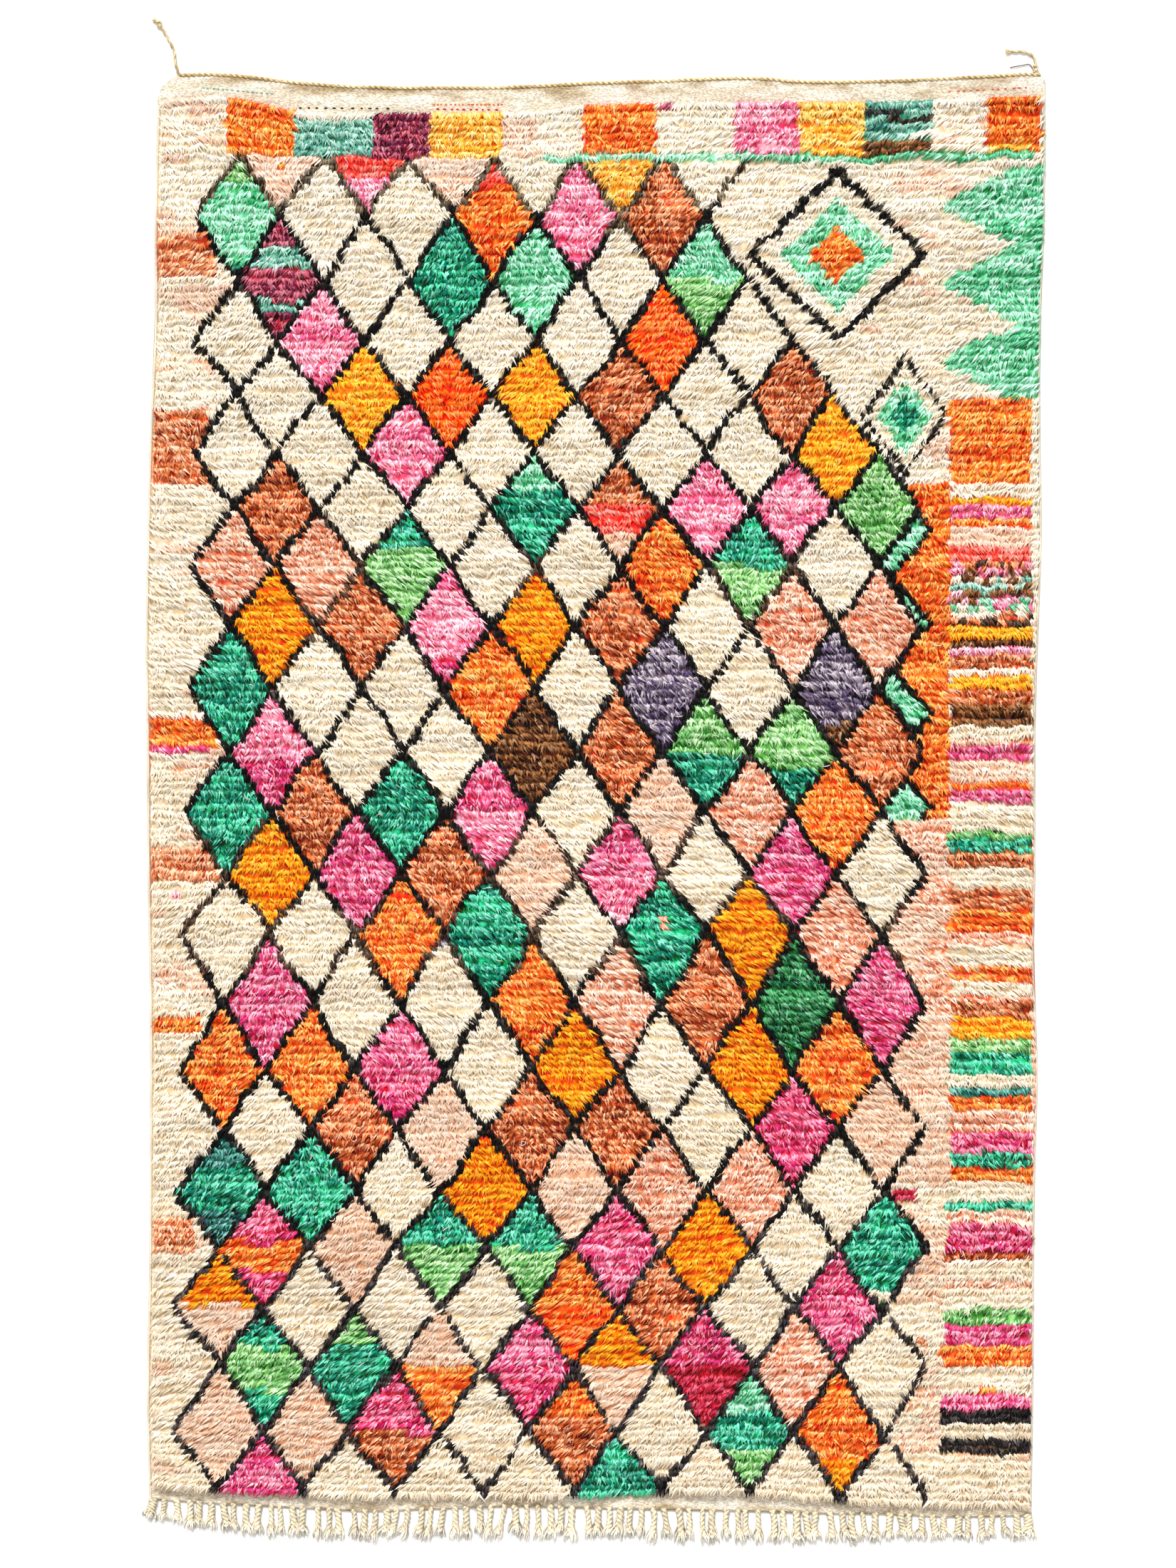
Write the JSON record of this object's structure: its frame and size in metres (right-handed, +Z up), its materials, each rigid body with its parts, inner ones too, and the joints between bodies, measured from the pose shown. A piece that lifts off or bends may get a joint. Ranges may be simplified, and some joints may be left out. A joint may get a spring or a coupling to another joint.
{
  "type": "azilal rug",
  "caption": "Hand-knotted wool pile rug lying flat, with flat-woven ends, a twisted fringe at one end and a corded heading with two loose cord ends",
  "frame": {"origin": "on the floor under the middle of the rug and its fringe", "axes": "X runs across the rug, +Y runs along it towards the corded heading, -Y towards the fringe, +Z is up from the floor through the pile"},
  "size_m": [1.5694, 2.6581, 0.0235],
  "materials": {
    "pile": "hand-knotted wool pile in cream with many dyed yarns",
    "warp": "undyed cotton and wool warp, twisted",
    "heading": "taupe twined wool cord",
    "cord": "undyed two-ply wool cord"
  },
  "bodies": {
    "root": {"rug": "pile", "fringe": "warp", "heading_cord": "heading", "left_corner_cord": "cord", "right_corner_cord": "cord"}
  },
  "joints": []
}
